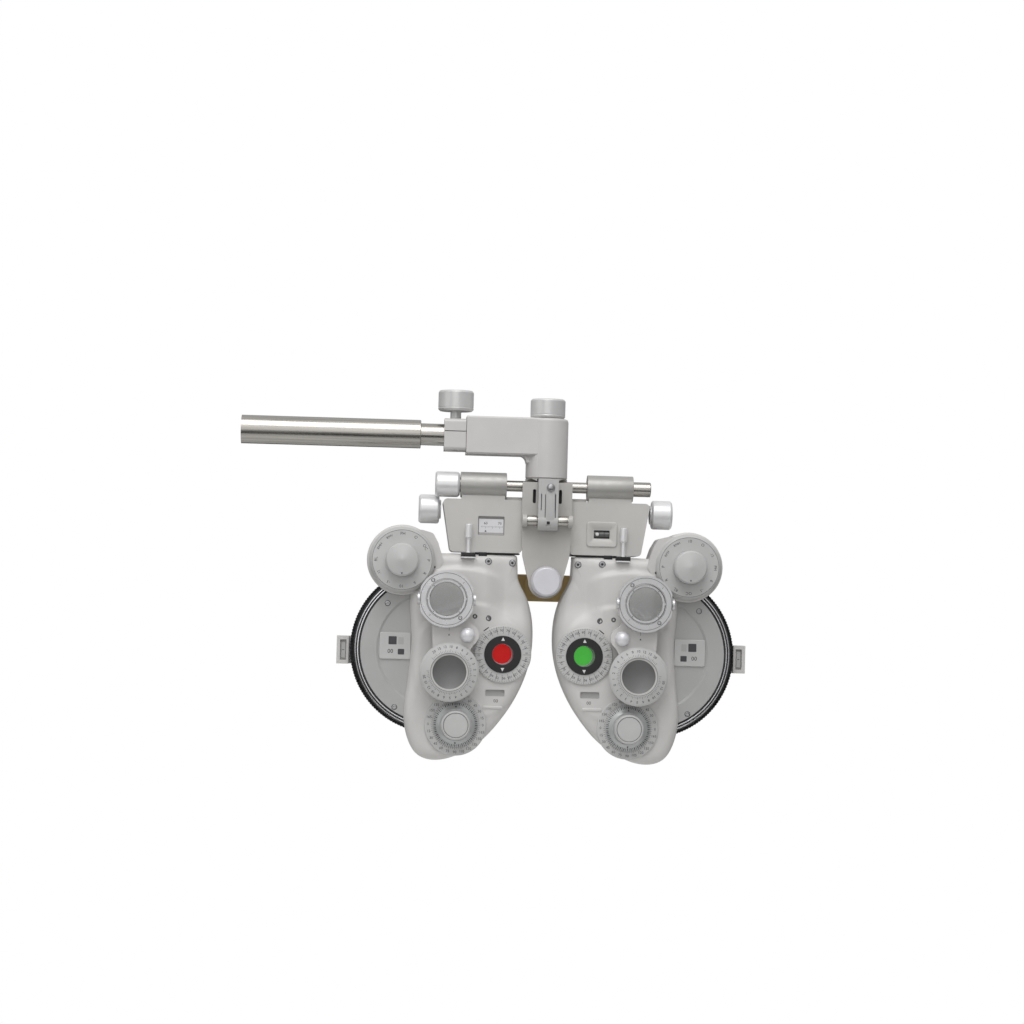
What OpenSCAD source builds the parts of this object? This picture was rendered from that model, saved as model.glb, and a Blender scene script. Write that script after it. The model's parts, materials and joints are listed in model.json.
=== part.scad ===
// Manual phoropter on an overhead arm: two lens batteries under a levelling
// guide shaft.  The front (examiner's side, with the dials) faces -Y, +Z is up
// and +X runs along the arm.  The origin is the centre of the arm rod's free
// end.  Battery places are [outwards from the centre plane, height].

/* [Arm and bracket] */
// Distance from the arm rod's free end to the centre plane
centre_x = 242; // [242:1:300]
// Radius of the arm rod that the stand's clamp holds
rod_r = 11.3; // [9:0.1:12]
// Radius of the turned-down end in the tilt clamp
spigot_r = 8.7; // [7:0.1:9]
// Height of the overhead bracket's bar
bar_h = 30; // [28:0.5:32]
// Radius of the swivel column
column_r = 16.6; // [15:0.1:17]

/* [Yoke and guide shaft] */
// Depth place of the guide shaft's axis
guide_y = -10; // [-11:0.5:-9]
// Height of the guide shaft's axis
guide_z = -39.5; // [-40:0.5:-39]
// Radius of the guide shaft's middle
guide_r = 4.3; // [4:0.1:4.5]
// Radius of the guide shaft's ends
guide_end_r = 5.8; // [5.5:0.1:6]
// Front face of the yoke plate
yoke_front = -22; // [-23:0.5:-21.5]
// Centre height of the forehead rest's knob
forehead_z = -114.3; // [-116:0.1:-113]

/* [Carriage boxes] */
// Height of a box's top face
box_top = -50.8; // [-51:0.1:-50.5]
// Height of a box's bottom face
box_bottom = -92.6; // [-93:0.1:-92]
// Height of the pupillary distance screw
screw_z = -59; // [-60:0.5:-58]

/* [Lens battery] */
// Sight opening
sight = [32, -172]; // [-200:0.1:200]
// Axle of the lens discs
axle = [85.6, -169.5]; // [-200:0.1:200]
// Auxiliary dial and strong sphere knob
dial = [112.5, -100.2]; // [-200:0.1:200]
// Turret pivot
pivot = [60.3, -157.3]; // [-200:0.1:200]
// Cross cylinder on the turret
cross = [77.3, -129.9]; // [-200:0.1:200]
// Rotary prism on the turret
prism = [73.6, -186.5]; // [-200:0.1:200]
// Cylinder power knob and axis ring
cylinder_at = [67.5, -227.7]; // [-300:0.1:300]
// Radius of the lens discs
disc_r = 62.2; // [62:0.1:62.3]
// Outer radius of the disc drum
drum_r = 63.5; // [63.4:0.1:63.6]
// Outer radius of the weak sphere disc's milled rim
rim_r = 65.8; // [65.5:0.1:66]
// Free radius of a lens
lens_r = 7.8; // [7:0.1:7.9]

/* [Gears] */
// Teeth of the dial's gear and of the auxiliary disc's gear
dial_teeth = 46; // [46:1:46]
// Teeth of the idler between them
idler_teeth = 28; // [28:1:28]

/* [Hidden] */
$fn = 96;
fit = 0.05;                    // radial clearance of a running fit
gap = 0.3;                     // clearance between faces that pass
clamp_x0 = -82;                // tilt clamp, from here ...
clamp_x1 = -64.8;              // ... to the bracket's end
level_pin_r = 2.5;             // pins that the guide shaft levels on
cross_r = 22.1;                // cross cylinder's outer ring
cell_r = 14.9;                 // flipping cell of the cross cylinder
cross_y = -41.2;               // its middle plane
disc_places = 12;
dial_r = 25.7;                 // auxiliary dial

// Depth layers of a battery, front to back
face_y = -23;                  // front of the housing
dial_y = -19.8;                // face behind the auxiliary dial
drum_y = -12.2;                // front of the drum
gear_y = [-9.9, -7.7];
aux_y = [-6.8, -5.0];
cyl_y = [-3.8, -2.0];
strong_y = [-0.8, 1.0];
weak_y = [2.2, 4.0];
rim_y = [-7.2, 8.1];           // milled rim, round the drum
drum_back = 1.4;
cover_y = [8.6, 11];

gear_line = dial - axle;
gear_angle = atan2(gear_line[1], gear_line[0]);
gear_m = 2 * norm(gear_line) / (2 * (dial_teeth + idler_teeth));
idler = axle + gear_line / 2;
pitch_r = norm(sight - axle);
sight_angle = atan2(sight[1] - axle[1], sight[0] - axle[0]);

SIDE_NODES = ["carriage", "vergence_lever", "housing", "back_cover", "weak_sphere_disc",
    "strong_sphere_disc", "cylinder_disc", "aux_disc", "sight_filter", "disc_axle",
    "aux_dial", "aux_idler_gear", "strong_sphere_knob", "turret_pivot", "turret_arm",
    "cross_cylinder_ring", "cross_cylinder_cell", "rotary_prism",
    "cylinder_power_knob", "cylinder_axis_ring", "axis_indicator"];
HANGER_NODES = ["arm_rod", "tilt_clamp", "tilt_clamp_knob",
    "overhead_bracket", "swivel_post", "rotation_knob", "yoke", "guide_shaft",
    "levelling_link", "levelling_knob", "pd_lead_screw",
    "near_rod_holder", "near_rod_pin", "forehead_knob", "forehead_bracket",
    "forehead_rest_pad"];

// ---------------------------------------------------------------- helpers

// Everything but the arm is drawn about the centre plane
module centred() translate([centre_x, 0, 0]) children();
module right_side() centred() children();
module left_side() centred() mirror([1, 0, 0]) children();

// Cylinders along the three axes
module along_x(r, x0, x1, y, z)
    translate([x0, y, z]) rotate([0, 90, 0]) cylinder(r = r, h = x1 - x0);
module along_y(r, at, y0, y1)
    translate([at[0], y0, at[1]]) rotate([-90, 0, 0]) cylinder(r = r, h = y1 - y0);
module along_z(r, x, y, z0, z1)
    translate([x, y, z0]) cylinder(r = r, h = z1 - z0);

// An outline of [outwards, height] made solid between two depths
module slab(y0, y1)
    translate([0, y1, 0]) rotate([90, 0, 0]) linear_extrude(y1 - y0) children();

// A box between two corners
module block(low, high)
    translate(low) cube(high - low);

// A turned piece facing the front: its profile is [radius, distance forward of y0]
module turned(at, y0, profile)
    translate([at[0], y0, at[1]]) rotate([90, 0, 0]) rotate_extrude() polygon(profile);

// A rectangle with round corners
module round_rect(size, r)
    offset(r) offset(-r) square(size, center = true);
module round_rect_at(at, size, r) translate(at) round_rect(size, r);

// Points of a smooth curve through P, with n steps between neighbours
function blend(a, b, c, d, t) =
    0.5 * (2 * b + (c - a) * t + (2 * a - 5 * b + 4 * c - d) * t * t
        + (3 * b - a - 3 * c + d) * t * t * t);
function through(P, n) =
    [for (i = [0 : len(P) - 2], s = [0 : n - 1])
        blend(P[max(i - 1, 0)], P[i], P[i + 1], P[min(i + 2, len(P) - 1)], s / n),
     P[len(P) - 1]];

// A gear with straight flanks, one tooth on the +X axis; slack thins the teeth
module gear(teeth, slack = 0.12)
    let (r = teeth * gear_m / 2, half = 90 / teeth, tip = 0.9 * gear_m, root = 1.15 * gear_m,
         thin = slack / r * 90 / PI, lean = tan(20) * 180 / PI / r)
        polygon([for (i = [0 : teeth - 1]) each
            [for (c = [[-1, -root], [-1, tip], [1, tip], [1, -root]])
                let (a = i * 360 / teeth + c[0] * (half - thin - lean * c[1]))
                (r + c[1]) * [cos(a), sin(a)]]]);

// A lens disc: holes on the lens circle, a hub bore and the shaped outer edge
module lens_disc(r, y, hub_r)
    difference() {
        along_y(r, axle, y[0], y[1]);
        along_y(hub_r + fit, axle, y[0] - 1, y[1] + 1);
        for (i = [0 : disc_places - 1])
            along_y(lens_r, axle + pitch_r * [cos(sight_angle + 30 * i), sin(sight_angle + 30 * i)],
                y[0] - 1, y[1] + 1);
    }

// ---------------------------------------------------------------- hanger

module arm_rod() color("lightgray") {
    rotate([0, 90, 0]) rotate_extrude()
        polygon([[0, 0], [rod_r, 0], [rod_r, 141.2], [rod_r - 0.4, 141.6],
            [spigot_r, 141.6], [spigot_r, 176.4], [0, 176.4]]);
}

module tilt_clamp() color("gainsboro") centred() difference() {
    intersection() {
        block([clamp_x0, -13, -12.6], [clamp_x1, 13, 12.6]);
        translate([-90, 0, 0]) rotate([90, 0, 90])
            linear_extrude(40) round_rect([26, 25.2], 3);
    }
    along_x(spigot_r + fit, clamp_x0 - 1, clamp_x1 - 0.4, 0, 0);
    block([clamp_x0 - 1, -14, 2.3], [clamp_x1 + 1, 0, 2.9]);
    along_z(4.3 + fit, -73.2, 0, 0, 20);
    along_z(2, -73.2, -9.5, -13, -5);
}

module tilt_clamp_knob() color("gainsboro") centred() {
    translate([-73.2, 0, 19]) rotate_extrude() polygon(
        [[0, 0], [12.6, 0], [14, 1.4], [14, 2.4], [13.7, 2.7], [14, 3], [14, 14.8],
         [12.8, 16.3], [0, 16.3]]);
    // its screw bears on the spigot
    along_z(4.3, -73.2, 0, spigot_r + 0.1, 20);
}

module overhead_bracket() color("gainsboro") centred() difference() {
    union() {
        difference() {
            block([clamp_x1 + 0.3, -14.5, -bar_h / 2], [0, 14.5, bar_h / 2]);
            for (s = [-1, 1], t = [-1, 1])
                translate([clamp_x1, 14.5 * s, bar_h / 2 * t]) rotate([45, 0, 0])
                    cube([300, 1.8, 1.8], center = true);
        }
        rotate_extrude() polygon([[0, -32.6], [column_r - 0.5, -32.6], [column_r, -32.1],
            [column_r, 12.6], [column_r - 0.7, 14.3], [column_r - 2.4, 15], [0, 15]]);
        // web in the inner corner
        slab(-9, 9) difference() {
            translate([-column_r - 5.5, -bar_h / 2 - 5.5]) square([12, 12]);
            translate([-column_r - 5.5, -bar_h / 2 - 5.5]) circle(5.5);
        }
    }
    along_z(9 + fit, 0, 0, -40, 8.2);
    along_z(3 + fit, 0, 0, 8, 20);
    along_z(3.4, -51, 0, -bar_h / 2 - 1, -bar_h / 2 + 4);
}

module swivel_post() color("silver") centred() difference() {
    along_z(9, 0, 0, -45.5, 8);
    along_y(level_pin_r + gap, [0, guide_z], -10, 10);
    along_x(6.2, -20, 20, guide_y, guide_z);
    block([-7.2, -20, -46], [7.2, 10, -33.4]);
}

module rotation_knob() color("gainsboro") centred() {
    translate([0, 0, 15.4]) rotate_extrude() polygon(
        [[0, 0], [12.6, 0], [13.85, 1.2], [13.85, 2.2], [13.55, 2.5], [13.85, 2.8],
         [13.85, 13.8], [12.7, 15.2], [0, 15.2]]);
    along_z(3, 0, 0, 8.6, 16);
}

yoke_side = [[19.6, -36.4], [19.6, -74], [18.3, -95], [15, -108], [13.3, -114.3]];

module yoke() color("gainsboro") centred() difference() {
    union() {
        slab(yoke_front, -16.8) {
            polygon(concat(yoke_side, [for (i = [len(yoke_side) - 1 : -1 : 0])
                [-yoke_side[i][0], yoke_side[i][1]]]));
            translate([0, forehead_z]) circle(13.3);
        }
        // hub under the column
        intersection() {
            along_z(column_r + 3, 0, 0, -46, -33);
            union() {
                along_z(column_r, 0, 0, -46, -33);
                block([-column_r, -18, -46], [column_r, -8, -36.4]);
            }
        }
        // lugs that hold the near rod holder's pin
        for (s = [-1, 1])
            translate([s * 17.9, 0, 0]) {
                along_x(4.6, -1.7, 1.7, -30, -67);
                block([-1.7, -30, -71.6], [1.7, -21, -62.4]);
            }
    }
    // the swivel post stands in the hub
    along_z(9, 0, 0, -45.5, -30);
    // room for the link and the shaft to level in
    block([-8, -16.4, -47], [8, 10, -33.4]);
    along_x(6.2, -25, 25, guide_y, guide_z);
    along_y(level_pin_r + fit, [0, guide_z], -25, 20);
    along_x(3.25 + fit, -21, 21, -30, -67);
    along_y(3 + fit, [0, forehead_z], -30, 0);
    for (s = [-1, 1])
        slab(yoke_front - 1, -16) translate([s * 10.2, -47.5]) round_rect([2.5, 11], 1.1);
}

module guide_shaft() color("silver") centred() {
    translate([0, guide_y, guide_z]) rotate([0, 90, 0]) rotate_extrude() polygon(
        [[0, -78], [guide_end_r - 0.6, -78], [guide_end_r, -77.4], [guide_end_r, -56.5],
         [guide_r, -56.5], [guide_r, 56.5], [guide_end_r, 56.5], [guide_end_r, 81.7],
         [guide_end_r - 0.6, 82.3], [0, 82.3]]);
}

module levelling_link() color("darkgray") centred() difference() {
    union() {
        block([-5.5, -15.4, -63.5], [5.5, -4, -34.4]);
        block([-5.5, -15.4, -63.5], [5.5, 6, -53.5]);
        // pins that the guide shaft levels about
        along_y(level_pin_r, [0, guide_z], -21.8, -15);
        along_y(level_pin_r, [0, guide_z], -5, 16);
    }
    along_x(guide_r, -6, 6, guide_y, guide_z);
    along_x(4, -6, 6, 0, screw_z);
}

module levelling_knob() color("whitesmoke") centred() difference() {
    translate([-68.6, guide_y, guide_z]) rotate([0, -90, 0]) rotate_extrude() polygon(
        [[0, 0], [8.2, 0], [10, 1.8], [10, 18.2], [8.8, 19.4], [0, 19.4]]);
    along_x(guide_end_r + gap, -86.2, -60, guide_y, guide_z);
}

module pd_lead_screw() color("silver") centred()
    along_x(4, -78, 78, 0, screw_z);

module pd_knob() color("whitesmoke") difference() {
    translate([82.9, 0, screw_z]) rotate([0, 90, 0]) rotate_extrude() polygon(
        [[0, 0], [7.5, 0], [7.5, 1.4], [10.3, 1.4], [11.4, 2.5], [11.4, 16.1], [9.9, 17.6],
         [0, 17.6]]);
    along_x(4 + gap, 80, 92, 0, screw_z);
}

module near_rod_holder() color("lightgray") centred() difference() {
    union() {
        block([-7.8, -37, -67], [7.8, -22.5, -34.4]);
        along_x(7.5, -7.8, 7.8, -30, -67);
    }
    along_x(3.25 + fit, -10, 10, -30, -67);
    // socket for the near point rod
    along_z(3.5, 0, -30.5, -56, -30);
    // slit that lets the front flap clamp the rod
    for (s = [-1, 1])
        block([s * 5.5 - 0.35, -38, -59], [s * 5.5 + 0.35, -33, -46]);
    block([-1.8, -39, -73], [1.8, -35.8, -70]);
}

module near_rod_pin() color("silver") centred()
    along_x(3.25, -19.5, 19.5, -30, -67);

module forehead_knob() color("gainsboro") centred() {
    turned([0, forehead_z], -24.6, [[0, 0], [10.9, 0], [11.7, 0.8], [11.7, 10.6], [10.5, 12.6],
        [9.9, 12.9], [0, 12.9]]);
    // its screw runs through the yoke to the pad's bracket
    along_y(3, [0, forehead_z], -25, 23);
}

module forehead_bracket() color("silver") centred() difference() {
    union() {
        along_y(6, [0, forehead_z], 17, 23);
        slab(22.4, 24) round_rect_at([0, -117.5], [25, 13], 5);
    }
    along_y(3 + fit, [0, forehead_z], 16, 23.2);
}

module forehead_rest_pad() color("peru") centred() difference() {
    intersection() {
        translate([0, 98, -119.3]) difference() {
            cylinder(r = 74, h = 21.5, center = true);
            cylinder(r = 66.5, h = 30, center = true);
        }
        block([-47, 20, -140], [47, 60, -100]);
        slab(20, 60) round_rect_at([0, -119.3], [94, 21.5], 6);
    }
    block([-60, 0, -140], [60, 24, -100]);
}

// ---------------------------------------------------------------- carriage

box_outline = [[18.6, box_top], [82.1, box_top], [75.1, box_bottom], [18.6, box_bottom]];
vergence_at = [44.8, -8];

module carriage() color("gainsboro") difference() {
    union() {
        slab(-16, 20) offset(3.5) offset(-3.5) polygon(box_outline);
        slab(-16, 20) polygon([[18.6, box_top], [30, box_top], [30, -75], [18.6, -75]]);
        block([18.6, -8, box_top - 1], [32, 15, -48.2]);
        // sleeve and its saddle
        along_x(10, 31.9, 68.1, guide_y, guide_z);
        block([33, guide_y - 6, box_top - 1], [67, guide_y + 6, -45]);
    }
    along_x(guide_r + fit, 30, 70, guide_y, guide_z);
    along_x(guide_end_r + fit, 48, 70, guide_y, guide_z);
    along_x(4 + fit, 10, 90, 0, screw_z);
    block([10, -12.5, -88], [70, 16.5, -65]);
    along_z(3 + fit, vergence_at[0], vergence_at[1], -100, -80);
    children();
}

// Pupillary distance window of the left box: a sloping scale behind an opening
module distance_window()
    slab(-17, -14.2) round_rect_at([43.3, -71.5], [20.7, 15], 0.8);

// Bezel and vial window of the right box
module level_window()
    slab(-17, -14.6) round_rect_at([44, -76], [12.6, 6.6], 0.6);

module vergence_lever() color("whitesmoke") {
    translate([60.9, -20.2, 0]) rotate_extrude() polygon(
        [[0, -94], [1.5, -94], [1.5, -82.5], [2.1, -81.6], [2.75, -81.2], [2.75, -71.2],
         [2.2, -70.6], [0, -70.6]]);
    block([55.4, -23.4, -97.5], [66.4, -16.9, -93]);
}

// ---------------------------------------------------------------- battery casing

leaf = concat(through([[22, -94], [21.2, -112], [12.6, -130.5], [8.6, -150], [9.4, -173],
    [16, -196], [28.6, -219], [47.5, -241], [70, -253.8], [89, -255.6], [101.5, -246.5],
    [108.2, -223], [105.4, -190], [103.6, -162], [105.6, -134], [104, -108]], 4), [[98, -94]]);

// The casing's solid shape: its front edge is rounded in fine steps
module leaf_solid() {
    slab(-18, 8.3) polygon(leaf);
    slab(-21.3, -14) offset(delta = -1.3) polygon(leaf);
    slab(face_y, -14) offset(delta = -3.6) polygon(leaf);
}

corner_y = -16.3;              // front of the casing where it passes behind the yoke

module dial_fairing()
    offset(3) offset(-3) union() {
        translate(dial) circle(27.6);
        polygon([[80, -100], [84.6, -86], [88.6, -79], [97, -76.5], [112, -76], [118, -110],
            [100, -128], [86, -110]]);
    }

module housing() color("whitesmoke") {
    difference() {
        union() {
            difference() {
                leaf_solid();
                along_y(dial_r + 2 * gap, dial, -30, dial_y);
            }
            along_y(drum_r - 1.5, axle, drum_y - 0.6, drum_back);
            along_y(drum_r, axle, drum_y + 2.6, drum_back);
            slab(dial_y, 8.3) dial_fairing();
            // scale face round the sight opening
            along_y(22.4, sight, -24.9, -20);
            along_y(24.2, cylinder_at, -23.6, -20);
        }
        // groove round the drum's cover plate
        difference() {
            along_y(60.6, axle, drum_y - 1, drum_y + 0.3);
            along_y(58.1, axle, drum_y - 2, drum_y + 1);
        }
        // gears and discs
        along_y(disc_r + 0.5, axle, gear_y[0] - 0.7, 9);
        difference() {
            along_y(rim_r + 0.6, axle, rim_y[0] - 0.6, 9);
            along_y(drum_r, axle, rim_y[0] - 1, drum_back);
        }
        difference() {
            union() {
                slab(-20.6, 9) offset(delta = -6.5) polygon(leaf);
                slab(-16, 9) offset(delta = -2.2) polygon(leaf);
            }
            block([0, -30, -130], [33, corner_y + 2.6, -90]);
        }
        // the upper inner corner steps down to pass behind the yoke
        block([-1, -30, -129], [30.5, corner_y, -90]);
        along_y(25.2, dial, -17.3, 9);
        slab(-23.6, -15.5) translate([61, -95]) square([11.4, 5.4], center = true);
        casing_bores();
    }
    difference() {
        union() {
            along_y(11, sight, -21, gear_y[0] - 0.7);
            along_y(7.5, axle, -21, gear_y[0] - 0.5);
            along_y(6, pivot, -21, -12);
            along_y(7.5, cylinder_at, -21, -12);
            along_y(8, dial, -18, gear_y[0] - 0.4);
            along_y(4.2, idler, -21, gear_y[0] - 0.4);
        }
        casing_bores();
    }
    // stud of the idler gear
    along_y(2.4, idler, gear_y[0] - 0.6, gear_y[1]);
    // spigot that the battery hangs and turns on, with its collar inside the box
    along_z(3, vergence_at[0], vergence_at[1], -96, -86);
    along_z(4.2, vergence_at[0], vergence_at[1], -87.7, -86);
}

module casing_bores() {
    along_y(8.6, sight, -30, -5);
    along_y(4, axle, -17.6, 12);
    along_y(3, pivot, -30, -10);
    along_y(4 + fit, cylinder_at, -30, -10);
    along_y(5 + fit, dial, -30, -5);
}

module back_cover() color("gainsboro") {
    difference() {
        union() {
            slab(cover_y[0], cover_y[1]) {
                polygon(leaf);
                translate(axle) circle(rim_r - 0.4);
                dial_fairing();
            }
            along_y(15, sight, 10, 18);
            // arm of the corneal gauge
            block([140, cover_y[0], -183], [162.2, 14, -161]);
            block([152.6, 0, -183], [162.2, 14, -161]);
        }
        along_y(12.6, sight, 13.5, 19);
        along_y(9, sight, 0, 19);
        along_y(4, axle, 0, 9.8);
        block([154.6, -1, -180], [159.4, 2, -164]);
    }
}

// ---------------------------------------------------------------- lens discs

module milled_outline(r, n, depth)
    polygon([for (i = [0 : n - 1], k = [0 : 3])
        let (a = (i + [0, 0.35, 0.5, 0.85][k]) * 360 / n)
        (r - (k < 2 ? 0 : depth)) * [cos(a), sin(a)]]);

module weak_sphere_disc() color("dimgray") {
    lens_disc(62.9, weak_y, 4);
    difference() {
        slab(rim_y[0], rim_y[1]) translate(axle) milled_outline(rim_r, 90, 0.6);
        along_y(62.8, axle, 0, 9);
        along_y(drum_r + gap, axle, rim_y[0] - 1, drum_back + 0.3);
    }
}

module strong_sphere_disc() color("silver") lens_disc(disc_r, strong_y, 4);

module cylinder_disc() color("silver") lens_disc(disc_r, cyl_y, 4);

module aux_disc() color("silver") {
    lens_disc(disc_r, aux_y, 4);
    difference() {
        union() {
            slab(gear_y[0], gear_y[1]) translate(axle) rotate(gear_angle) gear(dial_teeth);
            along_y(12, axle, gear_y[0], aux_y[0]);
        }
        along_y(4 + fit, axle, -12, 0);
    }
}

// Coloured filter in the auxiliary disc, in front of the sight opening
module sight_filter() along_y(lens_r, sight, aux_y[0], aux_y[1]);
module left_filter() color("firebrick") sight_filter();
module right_filter() color("limegreen") sight_filter();

module disc_axle() color("silver") along_y(4, axle, -17.6, 9.8);

module aux_idler_gear() color("darkgray") difference() {
    slab(gear_y[0], gear_y[1]) translate(idler)
        rotate(gear_angle + 180 / idler_teeth) gear(idler_teeth);
    along_y(2.4 + fit, idler, -12, 0);
}

// ---------------------------------------------------------------- dials and knobs

module aux_dial() color("whitesmoke") difference() {
    union() {
        turned(dial, -20.4, [[0, 0], [dial_r - 0.5, 0], [dial_r, 0.5], [dial_r, 4.2],
            [24.2, 6.6], [23.6, 7.2], [0, 7.2]]);
        along_y(5, dial, -21, gear_y[1]);
        slab(gear_y[0], gear_y[1]) translate(dial) rotate(gear_angle) gear(dial_teeth);
    }
    along_y(3 + fit, dial, -30, 0);
}

module strong_sphere_knob() color("whitesmoke") {
    turned(dial, -27.9, [[0, 0], [12.4, 0], [12.9, 0.5], [12.9, 10.6], [12, 11.6], [0, 14]]);
    along_y(3, dial, -28, -6);
}

module cylinder_power_knob() color("whitesmoke") {
    turned(cylinder_at, -27.7, [[0, 0], [11.1, 0], [11.5, 0.4], [11.5, 8.4], [10.6, 9.6],
        [9.9, 9.7], [9.4, 9.2], [0, 9.2]]);
    along_y(4, cylinder_at, -28, -13);
}

module cylinder_axis_ring() color("gray") difference() {
    turned(cylinder_at, -24, [[0, 0], [17.1, 0], [17.3, 0.3], [17.3, 1.6], [14.6, 2.4],
        [12.6, 3.3], [0, 3.3]]);
    along_y(4 + fit, cylinder_at, -40, -10);
}

module axis_indicator() color("black") difference() {
    turned(sight, -25.1, [[0, 0], [14.5, 0], [14.5, 0.5], [14.2, 0.8], [0, 0.8]]);
    along_y(8.2, sight, -40, -10);
}

// ---------------------------------------------------------------- turret

arm_y = [-36, -30];

module turret_pivot() color("silver") {
    along_y(3, pivot, -38, -12);
    translate([pivot[0], arm_y[0] - 2.2, pivot[1]]) sphere(5.7);
}

module turret_arm() color("gainsboro") difference() {
    union() {
        slab(arm_y[0], arm_y[1]) offset(-7) offset(7) {
            translate(cross) circle(20.6);
            translate(prism) circle(20.6);
            translate(pivot) circle(9);
            polygon([[66, -150], [88, -150], [87, -168], [60, -172], [54, -163]]);
        }
        along_y(8, pivot, -31, -23.6);
        // collars that carry the two rotating cells
        along_y(14.35, prism, -40.6, -31);
    }
    along_y(15.6, cross, -40, -20);
    along_y(13.2, prism, -50, -20);
    along_y(3 + fit, pivot, -50, -20);
    // the ball head sits in a hollow
    translate([pivot[0], arm_y[0] - 2.2, pivot[1]]) sphere(5.7 + gap);
}

module cross_cylinder_ring() color("gainsboro") difference() {
    slab(cross_y - 3.4, arm_y[0] - 0.2) intersection() {
        translate(cross) circle(cross_r);
        translate(cross) square([40.8, 60], center = true);
    }
    along_y(15.6, cross, -60, -20);
    along_x(1.2 + fit, cross[0] - 30, cross[0] + 30, cross_y, cross[1]);
}

module cross_cylinder_cell() color("gray") {
    difference() {
        along_y(cell_r, cross, cross_y - 1.8, cross_y + 1.8);
        along_y(13.3, cross, cross_y - 3, cross_y + 3);
    }
    for (s = [-1, 1]) {
        translate([cross[0] + s * 18.2, cross_y, cross[1]])
            rotate([0, 90, 0]) cylinder(r = 1.2, h = 7.6, center = true);
        translate([cross[0] + s * 21.6, cross_y, cross[1]])
            rotate([0, 90, 0]) cylinder(r = 4.6, h = 1.8, center = true);
    }
}

module rotary_prism() color("whitesmoke") difference() {
    turned(prism, arm_y[0] - 0.2, [[0, 0], [22.6, 0], [23, 0.4], [23, 2.4], [21.6, 3.6],
        [15.4, 5.2], [0, 5.2]]);
    along_y(14.4, prism, -50, -20);
}

// ---------------------------------------------------------------- output
arm_rod();
tilt_clamp();
tilt_clamp_knob();
overhead_bracket();
swivel_post();
rotation_knob();
yoke();
guide_shaft();
levelling_link();
levelling_knob();
pd_lead_screw();
near_rod_holder();
near_rod_pin();
forehead_knob();
forehead_bracket();
forehead_rest_pad();
left_side() pd_knob();  // left_pd_knob
left_side() carriage() distance_window();  // left_carriage
left_side() vergence_lever();  // left_vergence_lever
left_side() housing();  // left_housing
left_side() back_cover();  // left_back_cover
left_side() weak_sphere_disc();  // left_weak_sphere_disc
left_side() strong_sphere_disc();  // left_strong_sphere_disc
left_side() cylinder_disc();  // left_cylinder_disc
left_side() aux_disc();  // left_aux_disc
left_side() left_filter();  // left_sight_filter
left_side() disc_axle();  // left_disc_axle
left_side() aux_dial();  // left_aux_dial
left_side() aux_idler_gear();  // left_aux_idler_gear
left_side() strong_sphere_knob();  // left_strong_sphere_knob
left_side() turret_pivot();  // left_turret_pivot
left_side() turret_arm();  // left_turret_arm
left_side() cross_cylinder_ring();  // left_cross_cylinder_ring
left_side() cross_cylinder_cell();  // left_cross_cylinder_cell
left_side() rotary_prism();  // left_rotary_prism
left_side() cylinder_power_knob();  // left_cylinder_power_knob
left_side() cylinder_axis_ring();  // left_cylinder_axis_ring
left_side() axis_indicator();  // left_axis_indicator
right_side() pd_knob();  // right_pd_knob
right_side() carriage() level_window();  // right_carriage
right_side() vergence_lever();  // right_vergence_lever
right_side() housing();  // right_housing
right_side() back_cover();  // right_back_cover
right_side() weak_sphere_disc();  // right_weak_sphere_disc
right_side() strong_sphere_disc();  // right_strong_sphere_disc
right_side() cylinder_disc();  // right_cylinder_disc
right_side() aux_disc();  // right_aux_disc
right_side() right_filter();  // right_sight_filter
right_side() disc_axle();  // right_disc_axle
right_side() aux_dial();  // right_aux_dial
right_side() aux_idler_gear();  // right_aux_idler_gear
right_side() strong_sphere_knob();  // right_strong_sphere_knob
right_side() turret_pivot();  // right_turret_pivot
right_side() turret_arm();  // right_turret_arm
right_side() cross_cylinder_ring();  // right_cross_cylinder_ring
right_side() cross_cylinder_cell();  // right_cross_cylinder_cell
right_side() rotary_prism();  // right_rotary_prism
right_side() cylinder_power_knob();  // right_cylinder_power_knob
right_side() cylinder_axis_ring();  // right_cylinder_axis_ring
right_side() axis_indicator();  // right_axis_indicator
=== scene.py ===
"""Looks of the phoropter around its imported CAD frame.

Lengths are millimetres, turned into metres by mm() and by the matrices from at_place and
at_centre; the camera, lights and floor are in metres. A place on a battery is (distance
outwards from the centre plane, height), as in the CAD model."""
import json
import math

import bmesh
import bpy
from mathutils import Matrix, Vector


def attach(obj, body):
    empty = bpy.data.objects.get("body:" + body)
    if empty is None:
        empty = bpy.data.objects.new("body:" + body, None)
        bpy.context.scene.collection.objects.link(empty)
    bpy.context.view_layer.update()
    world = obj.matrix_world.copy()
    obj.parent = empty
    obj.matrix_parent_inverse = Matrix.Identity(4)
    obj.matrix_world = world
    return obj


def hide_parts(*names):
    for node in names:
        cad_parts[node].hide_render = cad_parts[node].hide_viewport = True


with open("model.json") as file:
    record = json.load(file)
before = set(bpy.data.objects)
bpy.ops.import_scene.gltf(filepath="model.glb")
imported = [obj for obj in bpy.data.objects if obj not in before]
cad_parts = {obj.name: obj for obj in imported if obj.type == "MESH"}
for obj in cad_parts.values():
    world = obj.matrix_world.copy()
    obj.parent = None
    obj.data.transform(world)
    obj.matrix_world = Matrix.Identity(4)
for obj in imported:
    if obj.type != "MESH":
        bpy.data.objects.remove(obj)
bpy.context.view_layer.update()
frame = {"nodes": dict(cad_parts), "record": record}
nodes = frame["nodes"]

# ---------------------------------------------------------------- places (mm)

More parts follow.
